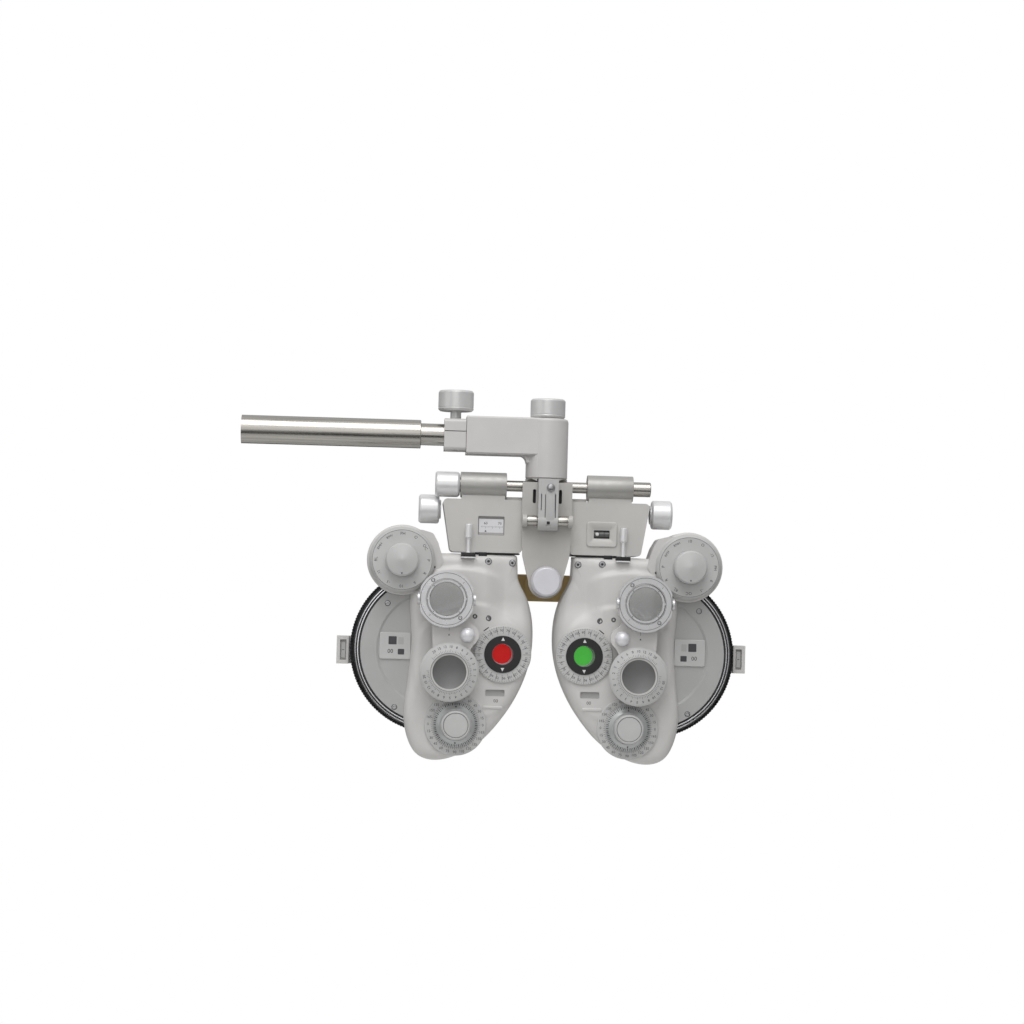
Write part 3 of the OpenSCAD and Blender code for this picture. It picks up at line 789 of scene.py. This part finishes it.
def drum_plate(side):
    """Front of the drum: polished edge, groove darkened with painted shade, cool grey plate with a
    stepped recess.
    """
    piece = Piece(f"{side}_drum_front")
    plate = moved(turned(softened([(0, 10.7), (57.9, 10.7), (57.9, 12.7, 0.5), (45.4, 12.7, 0.6),
                                   (43.6, 11.6, 0.6), (0, 11.6)]), 160), *AXLE)
    # turned edge: black shoulder, then bright lines and grooves darkened with painted shade, in turn
    lines = (
        ("black_rim", [(62.3, 10.7), (62.75, 10.7), (62.75, -1.4), (63.5, -1.4), (63.5, 9.9, 0.3),
                       (62.9, 11.6, 0.3), (62.3, 11.8)]),
        ("polished_edge", [(61.4, 10.7), (62.28, 10.7), (62.28, 12.3, 0.25), (61.4, 12.5, 0.2)]),
        ("painted_recess_shade", [(60.32, 10.7), (61.38, 10.7), (61.38, 11.6), (60.32, 11.6)]),
        ("polished_edge", [(59.4, 10.7), (60.3, 10.7), (60.3, 12.6, 0.25), (59.4, 12.6, 0.25)]),
        ("painted_recess_shade", [(57.95, 10.7), (59.38, 10.7), (59.38, 11.4), (57.95, 11.4)]))
    edges = [(look, moved(turned(softened(profile), 160), *AXLE)) for look, profile in lines]
    for look, shape in [("drum_plate", plate)] + edges:
        inside = raised([tuple(p.lerp(LEAF_MIDDLE, 0.06)) for p in curve_through(LEAF, 4)], 5, 20)
        piece.add(mirrored(carved(shape, inside), side), look, MIDDLE)
    # reading window: a plain frame on the recess, with three marks and a number
    window_x, window_y = DRUM_WINDOW
    frame_box = raised(rounded_rect(24.5, 21.0, 1.4), 11.2, 12.9, 0.5)
    piece.add(frame_box, "dial_white", at_place(side, DRUM_WINDOW, 0))
    for dx, dy, w, h, look in ((2.0, 4.2, 6.4, 6.4, "soft_ink"), (-4.6, 4.0, 4.2, 5.6, "drum_plate"),
                               (-4.8, -4.6, 5.0, 4.4, "soft_ink")):
        piece.add(raised(rounded_rect(w, h, 0.5), 12.9, 12.98), look,
                  at_place(side, (window_x + dx, window_y + dy), 0))
    piece.add(lettering("00", 4.6), "ink", Matrix.Translation(mm(0, -0.02, 0))
              @ at_place(side, (window_x + 3.6, window_y - 4.4), -12.92))
    for at in ((122.9, -134.4), (115.5, -215.7)):
        socket_screw(piece, side, at, 12.7, 1.9)
    piece.on(f"{side}_battery", slot="battery_paint", weighted=True)


def socket_screw(piece, side, at, height, radius, look="screw"):
    """A countersunk socket-head screw, flush in its seat; its socket and the gap round it are painted
    shade.
    """
    matrix = at_place(side, at, 0)
    piece.add(turned(softened([(0, height - 0.4), (radius, height - 0.4), (radius, height + 0.25, 0.3),
                               (radius * 0.55, height + 0.25, 0.1), (radius * 0.5, height - 0.1),
                               (0, height - 0.1)]), 32), look, matrix)
    # the hex socket is a flat black hexagon in the ink look: painted shade in the socket
    piece.add(turned([(0, height - 0.09), (radius * 0.46, height - 0.09),
                      (radius * 0.46, height - 0.02), (0, height - 0.02)], 6), "ink", matrix)
    # the ring round the head is painted shade in the gap to its seat
    piece.add(turned([(radius + 0.02, height - 0.3), (radius + 0.35, height - 0.3),
                      (radius + 0.35, height + 0.06), (radius + 0.02, height + 0.06)], 40),
              "painted_recess_shade", matrix)


build_castings()
for side in SIDES:
    drum_plate(side)

# ---------------------------------------------------------------- scales and numbers

def spoke(angle, r0, z0, r1, z1, width, depth=0.07):
    """A scale line on a flat or conical face, from one radius to another."""
    shape = bmesh.new()
    a = math.radians(angle)
    along, across = Vector((math.cos(a), math.sin(a), 0)), Vector((-math.sin(a), math.cos(a), 0))
    corners = []
    for r, z in ((r0, z0), (r1, z1)):
        for sign in (-1, 1):
            for lift in (-0.04, depth):
                point = along * r + across * sign * width / 2
                corners.append(shape.verts.new((point.x, point.y, z + lift)))
    bmesh.ops.convex_hull(shape, input=corners)
    return shape


def number_on(angle, radius, z, text, size, tilt=0.0, upright=False):
    """Characters on a face, their tops outwards or upright, lying back by tilt degrees."""
    turn = Matrix.Rotation(math.radians(angle - 90), 4, "Z")
    seat = turn @ Matrix.Translation((0, radius, z)) @ Matrix.Rotation(math.radians(-tilt), 4, "X")
    if upright:
        a = math.radians(angle)
        seat = Matrix.Translation((radius * math.cos(a), radius * math.sin(a), z))
    shape = lettering(text, size)
    bmesh.ops.transform(shape, matrix=seat, verts=shape.verts)
    return shape


def triangle(x, y, size, z, angle=90):
    """A small filled triangle that points along an angle."""
    turns = [math.radians(angle + t) for t in (0, 125, 235)]
    points = [(x + size * math.cos(t), y + size * math.sin(t)) for t in turns]
    return raised(points, z - 0.03, z + 0.06)


def hoop(r0, r1, z, depth=0.06, segments=128):
    """A thin printed or engraved circle."""
    return turned([(r0, z - 0.03), (r1, z - 0.03), (r1, z + depth), (r0, z + depth)], segments)


AXES = [str(15 * k % 180) for k in range(24)]
AUX_WORDS = {"left": ["PH", "O", "OC", "P", "R", "6", "10", "-.5", ".12", "RL", "RMH", "RMV"],
             "right": ["10", "O", ".12", "PH", "6", "-.5", "OC", "RL", "R", "P", "RMV", "RMH"]}
PRISM_STEPS = ["0", "1", "2", "3", "4", "5", "6", "8", "10", "12", "15", "20"]


def sight_scale(side):
    """Axis numbers round the sight opening, printed on the casting's scale seat."""
    piece = Piece(f"{side}_sight_scale")
    here = at_place(side, SIGHT, 0)
    for k, text in enumerate(AXES):
        piece.add(number_on(15 * k + 4, 18.6, SIGHT_SEAT, text, 2.7), "ink", here)
    for k in range(72):
        long = k % 3 == 0
        start, width, look = (16.0, 0.22, "ink") if long else (20.7, 0.16, "soft_ink")
        piece.add(spoke(5 * k, start, SIGHT_SEAT, 21.8, SIGHT_SEAT, width), look, here)
    piece.on(f"{side}_battery", slot="black_face")


def sight_markers(side):
    """White triangles on the black axis indicator."""
    piece = Piece(f"{side}_indicator_marks")
    for sign in (-1, 1):
        piece.add(triangle(0, sign * 11.6, 1.7, 25.9, 90 * sign), "white_ink", at_place(side, SIGHT, 0))
    piece.add(hoop(8.25, 8.55, 25.9), "soft_ink", at_place(side, SIGHT, 0))
    piece.on(f"{side}_axis_indicator", slot="black_face")


def cylinder_scale(side):
    """Axis numbers round the cylinder's axis ring."""
    piece = Piece(f"{side}_cylinder_scale")
    here = at_place(side, CYLINDER, 0)
    for k, text in enumerate(AXES):
        piece.add(number_on(15 * k, 21.4, CYLINDER_SEAT, text, 2.9, upright=True), "ink", here)
    for k in range(72):
        end = 19.0 if k % 3 else 19.4
        piece.add(spoke(5 * k, 17.7, CYLINDER_SEAT, end, CYLINDER_SEAT, 0.2), "ink", here)
    piece.on(f"{side}_battery", slot="black_face")
    ticks = Piece(f"{side}_axis_ring_marks")
    for k in range(72):
        ticks.add(spoke(5 * k, 15.3, 26.19, 17.15, 25.64, 0.34 if k % 2 else 0.6), "ink", here)
    ticks.add(triangle(0, 14.0, 1.1, 26.75, 90), "ink", here)
    ticks.add(triangle(0, -14.0, 1.1, 26.75, -90), "ink", here)
    ticks.on(f"{side}_axis_ring", slot="black_face")


def prism_scale(side):
    """Prism powers on the rotary prism's sloping ring, and the line round its opening."""
    piece = Piece(f"{side}_prism_marks")
    here = at_place(side, PRISM, 0)
    zero = -160 if side == "right" else -20
    for sign in (-1, 1):
        for k, text in enumerate(PRISM_STEPS):
            if k == 0 and sign > 0:
                continue
            angle = zero + sign * 13.5 * k
            piece.add(number_on(angle, 19.7, 40.35, text, 2.9, 14.5), "ink", here)
    for k in range(73):
        radius, height = (16.8, 41.0) if k % 3 else (17.6, 40.83)
        piece.add(spoke(zero - 162 + 4.5 * k, 15.6, 41.36, radius, height, 0.2), "ink", here)
    piece.add(hoop(14.6, 14.85, 41.4), "soft_ink", here)
    piece.on(f"{side}_prism", slot="black_face")


def dial_words(side):
    """The twelve settings round the auxiliary dial."""
    piece = Piece(f"{side}_aux_dial_marks")
    here = at_place(side, DIAL, 0)
    for k, text in enumerate(AUX_WORDS[side]):
        size = 3.3 if len(text) < 3 else 2.7
        piece.add(number_on(90 - 30 * k, 20.4, 27.6, text, size), "ink", here)
    piece.add(hoop(23.2, 23.45, 27.6), "soft_ink", here)
    piece.on(f"{side}_aux_dial", slot="black_face")


# ---------------------------------------------------------------- knobs, rings and glasses

def strong_knob(side):
    """Strong sphere knob: satin drum with a shallow cone and a blunt tip."""
    piece = Piece(f"{side}_strong_knob_turned")
    here = at_place(side, DIAL, 0)
    piece.add(turned(softened([(0, 27.9), (12.4, 27.9), (12.9, 28.4, 0.3), (12.9, 38.5, 0.3),
                               (11.9, 39.6, 0.5), (1.2, 41.6, 1.0), (0, 41.7)], 6), 96),
              "dial_white", here)
    piece.add(turned([(0, 6.0), (3.0, 6.0), (3.0, 28.2), (0, 28.2)], 32), "screw", here)
    piece.add(triangle(0, -10.6, 0.9, 39.9, -90), "ink", here)
    piece.on(f"{side}_strong_knob", f"{side}_strong_sphere_knob", weighted=True)


def power_knob(side):
    """Cylinder power knob: bright rim round a slightly sunk cap."""
    piece = Piece(f"{side}_power_knob_turned")
    here = at_place(side, CYLINDER, 0)
    piece.add(turned(softened([(0, 27.7), (11.1, 27.7), (11.5, 28.1, 0.2), (11.5, 36.0, 0.4),
                               (10.7, 37.4, 0.7), (9.9, 37.4, 0.3), (9.7, 36.7, 0.2),
                               (9.4, 36.7, 0.2), (9.2, 37.1, 0.2), (0, 37.3)], 5), 96),
              "dial_white", here)
    piece.add(turned([(0, 13.0), (4.0, 13.0), (4.0, 28.0), (0, 28.0)], 32), "screw", here)
    piece.add(hoop(9.5, 9.68, 36.75, 0.05), "soft_ink", here)
    piece.on(f"{side}_cylinder_knob", f"{side}_cylinder_power_knob", weighted=True)


def cross_details(side):
    """Screws, index marks and dark line of the cross cylinder's ring."""
    piece = Piece(f"{side}_cross_ring_marks")
    here = at_place(side, CROSS, 0)
    piece.add(hoop(20.05, 20.35, 44.62), "ink", here)
    piece.add(hoop(15.9, 16.1, 44.6), "soft_ink", here)
    for angle in (127, -53):
        x, y = 18.0 * math.cos(math.radians(angle)), 18.0 * math.sin(math.radians(angle))
        socket_screw(piece, side, (CROSS[0] + SIDES[side] * x, CROSS[1] + y), 44.55, 1.25)
    for angle in (45, 225):
        piece.add(spoke(angle, 17.3, 44.6, 18.8, 44.6, 0.3), "soft_ink", here)
    piece.on(f"{side}_cross_ring", slot="black_face")
    cell = Piece(f"{side}_cross_glass")
    lens = softened([(0, 40.3), (13.25, 40.3), (13.25, 41.9), (12.6, 42.3, 0.3), (0, 42.6)])
    cell.add(turned(lens, 96), "clear_glass", here)
    for k in range(4):
        a = math.radians(45 + 90 * k)
        cell.add(turned([(0, 0), (0.42, 0), (0.42, 0.06), (0, 0.06)], 16), "ink",
                 here @ Matrix.Translation((14.1 * math.cos(a), 14.1 * math.sin(a), 42.98)))
    cell.on(f"{side}_cross_cell", slot="", weighted=True)


def prism_glass(side):
    """The rotary prism's dished glass, sunk in its collar."""
    piece = Piece(f"{side}_prism_glass")
    here = at_place(side, PRISM, 0)
    hollow = [(13.9 * k / 12, 35.2 + 3.0 * (k / 12) ** 2) for k in range(12, -1, -1)]
    piece.add(turned([(0, 32.6), (13.9, 32.6)] + hollow, 96), "smoked_glass", here)
    piece.on(f"{side}_turret", slot="", weighted=True)


def screws_and_marks(side):
    """Fasteners, pointers and reading marks on the casting itself."""
    piece = Piece(f"{side}_casting_fittings")
    s = SIDES[side]
    for at, radius in (((44.8, -99.6), 2.3), ((25.9, -100.4), 2.3), ((54.4, -142.9), 1.5),
                       ((43.9, -144.2), 2.0)):
        height = face_height(*at)
        look = "screw" if radius > 2.1 else "dark_steel"
        socket_screw(piece, side, at, height, radius, look)
    piece.add(bar(s * 43.4, -151.2, s * 47.2, -154.2, 0.7), "ink",
              MIDDLE @ lifted(face_height(45, -152)))
    piece.add(circle_dot(s * 87.2, -105.2, 1.0, 21.6), "ink", MIDDLE)
    piece.add(raised(rounded_rect(14.6, 4.8, 0.9, s * CYLINDER_WINDOW[0], CYLINDER_WINDOW[1]),
                     20.55, 20.7), "drum_plate", MIDDLE)
    piece.add(lettering("00", 3.6), "ink",
              MIDDLE @ Matrix.Translation((s * 36.5, -208.6, face_height(36.5, -208.6) + 0.03)))
    piece.add(raised(rounded_rect(15.6, 2.6, 1.1, s * 38.9, -213.6), 20.0,
                     face_height(38.9, -213.6) + 0.9, 0.8), "battery_paint", MIDDLE)
    # slot of the corneal gauge, its floor dark with painted shade, with its reading line
    x, y = s * GAUGE[0], GAUGE[1]
    piece.add(raised(rounded_rect(4.7, 15.9, 0.3, x, y), -1.95, -1.7), "soft_shade", MIDDLE)
    piece.add(raised(rounded_rect(3.0, 12.6, 0.3, x, y), -1.71, -1.5), "drum_plate", MIDDLE)
    piece.add(bar(x - s * 0.8, y, x + s * 0.8, y, 0.4), "ink",
              MIDDLE @ lifted(-1.5))
    piece.on(f"{side}_battery", slot="battery_paint")
    arm = Piece(f"{side}_turret_marks")
    arm.add(triangle(s * 74.6, -157.6, 0.9, 36.0, 90), "ink", MIDDLE)
    arm.add(bar(s * 74.6, -154.6, s * 74.6, -152.0, 0.25), "soft_ink",
            MIDDLE @ lifted(36))
    arm.on(f"{side}_turret", slot="black_face")


def circle_dot(x, y, radius, z):
    return raised(circle(radius, 24, x, y), z - 0.05, z + 0.06)


def framed(outer, inner, low, high, floor):
    """A bezel: a raised frame whose opening slopes down to a smaller window."""
    shape = bmesh.new()
    wall, brow = outer
    mouth, window = inner
    rings = [[shape.verts.new((x, y, z)) for x, y in outline]
             for outline, z in ((wall, low), (wall, high - 0.7), (brow, high), (mouth, high),
                                (window, floor))]
    bridge(shape, rings)
    bmesh.ops.recalc_face_normals(shape, faces=shape.faces)
    return shape


def distance_scale():
    """Pupillary distance window of the left box: sloped frame dark with painted shade, white scale,
    pointer.
    """
    piece = Piece("distance_window")
    x, y = -43.3, -71.5
    sixty_x, mark_step = -47.6, 1.1
    wall = rounded_rect(20.6, 14.9, 0.8, x, y)
    # the sloped frame is dark with painted shade
    piece.add(framed((wall, wall),
                     (rounded_rect(20.5, 14.8, 0.8, x, y), rounded_rect(19.2, 10.6, 0.6, x, y)),
                     14.25, 15.9, 14.4), "soft_shade", MIDDLE)
    piece.add(raised(rounded_rect(20.2, 11.4, 0.6, x, y - 0.3), 14.2, 14.45), "window_white", MIDDLE)
    for text, at in (("60", sixty_x), ("70", -36.6)):
        piece.add(lettering(text, 2.9), "ink", MIDDLE @ Matrix.Translation((at, y + 1.9, 14.48)))
    for k in range(-3, 14):
        at = sixty_x + mark_step * k
        if abs(at - x) < 9.4:
            long_mark = 1.9 if k % 5 == 0 else 1.1
            piece.add(bar(at, y - 0.2, at, y - 0.2 - long_mark, 0.2), "soft_ink",
                      MIDDLE @ lifted(14.45))
    piece.add(triangle(sixty_x, y - 4.2, 1.0, 14.5, 90), "ink", MIDDLE)
    piece.on("left_carriage", slot="grey_paint")


def level_vial():
    """Spirit level of the right box: raised bezel, dark vial, bubble between two lines."""
    piece = Piece("level_window")
    x, y = 44.0, -76.0
    piece.add(framed((rounded_rect(24.5, 20.0, 3.0, x, y), rounded_rect(23.1, 18.6, 2.6, x, y)),
                     (rounded_rect(17.6, 11.8, 1.2, x, y), rounded_rect(12.5, 6.5, 0.6, x, y)),
                     15.9, 17.3, 15.6), "grey_paint", MIDDLE)
    # the window's floor behind the vial: painted shade
    piece.add(raised(rounded_rect(12.5, 6.5, 0.5, x, y), 14.6, 14.8), "painted_recess_shade", MIDDLE)
    tube = turned([(0, -5.9), (2.5, -5.9), (2.5, 5.9), (0, 5.9)], 48)
    piece.add(tube, "vial_glass", at_centre(x, -13.8, y, "right"))
    bubble = rounded_rect(2.7, 2.5, 1.1, x - 3.6, y + 0.2)
    piece.add(raised(bubble, 15.9, 16.42, 0.3), "white_ink", MIDDLE)
    for at in (-1.9, 1.9):
        piece.add(bar(x + at, y - 2.3, x + at, y + 2.3, 0.25), "ink",
                  MIDDLE @ lifted(16.3))
    piece.on("right_carriage", slot="grey_paint")


def holder_details():
    """Screw and clamp slits of the near rod holder, dark plates in the yoke's slots, and the pin's two
    shoulder sleeves; the slits and the plates are painted shade.
    """
    piece = Piece("near_rod_holder_fittings")
    piece.add(turned(softened([(0, 0), (3.2, 0), (3.2, 1.3, 0.5), (2.3, 2.6, 0.9), (0, 3.0)]), 48),
              "screw", at_centre(1.6, -36.9, -41.2))
    front = at_centre(0, -37.0, 0)
    piece.add(raised(rounded_rect(6.4, 24.5, 1.0, 1.6, -54.4), 0, 0.55, 0.4), "cast_grey", front)
    # the clamp slits are raised strokes of painted shade, not cuts
    for at in (-2.4, 5.6):
        piece.add(bar(at, -46.5, at, -66.0, 0.55, 0.12), "painted_recess_shade", front)
    piece.add(raised(rounded_rect(2.4, 2.2, 0.3, 0.2, -68.6), 0, 0.6, 0.2), "black_face", front)
    piece.on("near_rod_holder", slot="cast_grey")
    slots = Piece("yoke_slot_shade_plates")
    # plates of painted shade in the yoke's slots
    for at in (-10.2, 10.2):
        slots.add(raised(rounded_rect(3.3, 12.0, 1.2, at, -47.5), 16.3, 17.1), "painted_recess_shade", MIDDLE)
    slots.on("swivel", slot="grey_paint")
    pin = Piece("near_rod_pin_sleeves")
    for s in (-1, 1):
        pin.add(turned(softened([(3.3, 0), (4.1, 0, 0.2), (4.1, 7.6, 0.2), (3.3, 7.6)], 3), 64),
                "stainless", at_centre(8.15 if s > 0 else -15.75, -30, -67, "right"))
    pin.on("swivel", slot="stainless")


def back_screws(side):
    """Countersunk screws that hold the back cover to the housing."""
    piece = Piece(f"{side}_back_cover_screws")
    for at in ((28, -103), (92, -106), (131.7, -136), (131.7, -203), (92, -243), (45, -228),
               (16.5, -148)):
        here = at_place(side, at, 0, "back")
        piece.add(turned(softened([(0, COVER_BACK - 0.5), (2.4, COVER_BACK - 0.5),
                                   (2.4, COVER_BACK + 0.35, 0.3), (0, COVER_BACK + 0.35)]), 32),
                  "screw", here)
        # the cross recess is two raised black bars in the ink look: painted shade, not a recess
        for x, y, lift in ((1.7, 0.25, 0.4), (0.25, 1.7, 0.41)):
            piece.add(raised([(-x, -y), (x, -y), (x, y), (-x, y)],
                             COVER_BACK + 0.3, COVER_BACK + lift), "ink", here)
    piece.on(f"{side}_battery", slot="battery_paint")


def pad_moulding():
    """Lip of the forehead pad's moulding that covers the front of its bracket's plate."""
    piece = Piece("forehead_pad_lip")
    piece.add(raised(rounded_rect(27.0, 14.6, 5.5, 0, -117.5), -22.5, -21.8, 0.3), "brown_pad", MIDDLE)
    piece.on("forehead_rest", slot="brown_pad")


def milled_sleeve(side, teeth=180):
    """Fine milling round the weak sphere disc's rim, with a chamfered front edge."""
    shape = bmesh.new()
    rings = []
    outer_r, tooth, count = 66.1, 0.32, 4 * teeth
    for inset, z in ((2.1, -8.1), (0.0, -8.1), (0.0, 6.6), (0.5, 7.2), (2.1, 7.2)):
        ring = []
        for k in range(count):
            radius = outer_r - inset - (tooth if k % 4 > 1 and inset < 2 else 0.0)
            angle = 2 * math.pi * (k + (0.25 if k % 2 else -0.25)) / count
            ring.append(shape.verts.new((radius * math.cos(angle), radius * math.sin(angle), z)))
        rings.append(ring)
    bridge(shape, rings + rings[:1])
    bmesh.ops.recalc_face_normals(shape, faces=shape.faces)
    piece = Piece(f"{side}_milled_sleeve")
    piece.add(shape, "black_rim", at_place(side, AXLE, 0))
    piece.on(f"{side}_weak_disc", slot="black_rim", sharp=20)


def carriage_details(side):
    """Satin sleeve on the guide shaft, black slip plate above the battery, lever's clip."""
    s = SIDES[side]
    piece = Piece(f"{side}_carriage_fittings")
    start = at_centre(31.85 if s > 0 else -68.15, -10, -39.5, "right")
    piece.add(turned(softened([(6.3, 0), (10.15, 0, 0.5), (10.15, 36.3, 0.5), (6.3, 36.3)], 3), 96),
              "sleeve_satin", start)
    piece.add(raised(rounded_rect(40.5, 1.0, 0.1, s * 40.5, -93.15), -8, 15.0), "black_face", MIDDLE)
    piece.add(raised(rounded_rect(6.6, 3.2, 0.4, s * 49.4, -94.0), 14.2, 16.4, 0.3), "black_face", MIDDLE)
    piece.on(f"{side}_carriage", slot="grey_paint")
    clip = Piece(f"{side}_lever_clip")
    clip.add(raised(rounded_rect(11.3, 3.3, 0.4, s * 60.9, -94.75), 16.8, 23.65, 0.4),
             "black_face", MIDDLE)
    clip.on(f"{side}_battery", slot="black_face")


distance_scale()
level_vial()
holder_details()
pad_moulding()
for side in SIDES:
    for make in (sight_scale, sight_markers, cylinder_scale, prism_scale, dial_words, strong_knob,
                 power_knob, cross_details, prism_glass, screws_and_marks, carriage_details,
                 milled_sleeve, back_screws):
        make(side)
